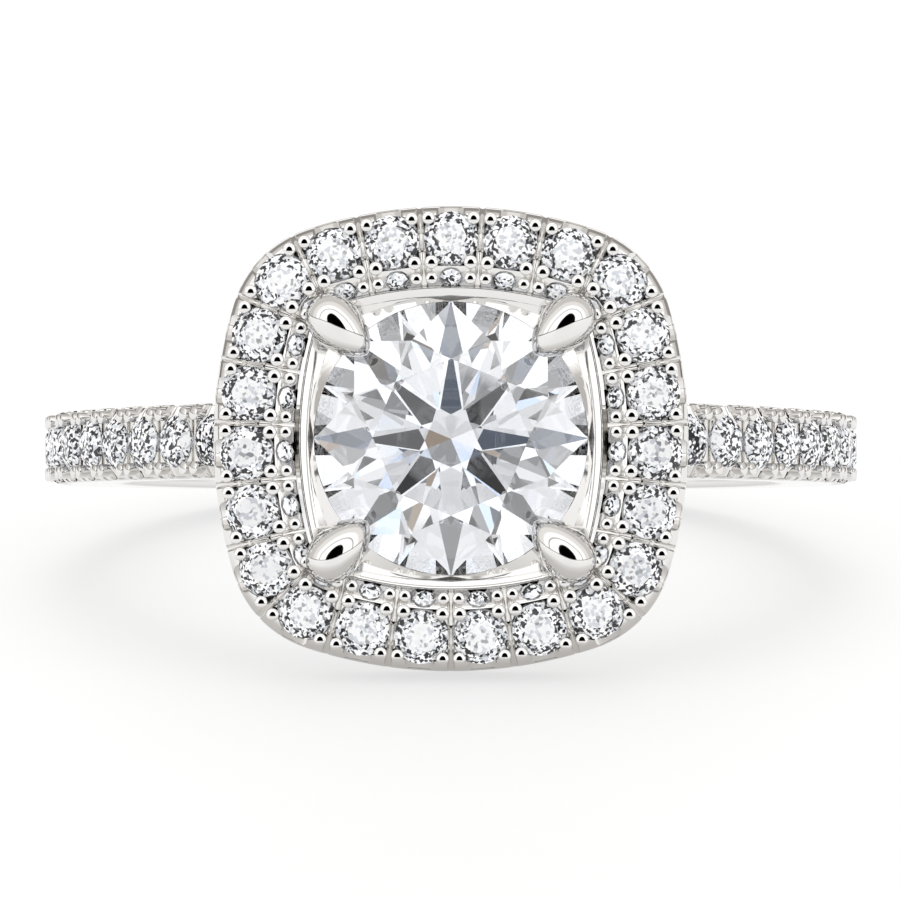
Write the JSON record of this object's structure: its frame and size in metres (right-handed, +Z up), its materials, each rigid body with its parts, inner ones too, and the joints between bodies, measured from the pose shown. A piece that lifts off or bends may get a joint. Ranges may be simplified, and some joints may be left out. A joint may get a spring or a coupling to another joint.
{
  "type": "halo ring",
  "caption": "Finger ring with a round centre stone held by claws in a cushion-shaped stone halo, on a band with stone-set cathedral shoulders.",
  "frame": {"origin": "centre of the bounding box's bottom face, on the table that the ring lies on", "axes": "+Z up from the table; -Y the way the head points; X from shoulder to shoulder. The finger hole runs along Y and Z, about 77 degrees up from the table"},
  "size_m": [0.021, 0.0232, 0.011],
  "materials": {
    "metal": "polished white gold, rhodium plated",
    "diamond": "clear cut stone"
  },
  "bodies": {
    "root": {"setting": "metal", "centre_stone": "diamond", "halo_stone_01": "diamond", "halo_stone_02": "diamond", "halo_stone_03": "diamond", "halo_stone_04": "diamond", "halo_stone_05": "diamond", "halo_stone_06": "diamond", "halo_stone_07": "diamond", "halo_stone_08": "diamond", "halo_stone_09": "diamond", "halo_stone_10": "diamond", "halo_stone_11": "diamond", "halo_stone_12": "diamond", "halo_stone_13": "diamond", "halo_stone_14": "diamond", "halo_stone_15": "diamond", "halo_stone_16": "diamond", "halo_stone_17": "diamond", "halo_stone_18": "diamond", "halo_stone_19": "diamond", "halo_stone_20": "diamond", "halo_stone_21": "diamond", "halo_stone_22": "diamond", "halo_stone_23": "diamond", "inner_stones": "diamond", "shoulder_stones_left": "diamond", "shoulder_stones_right": "diamond"}
  },
  "joints": []
}
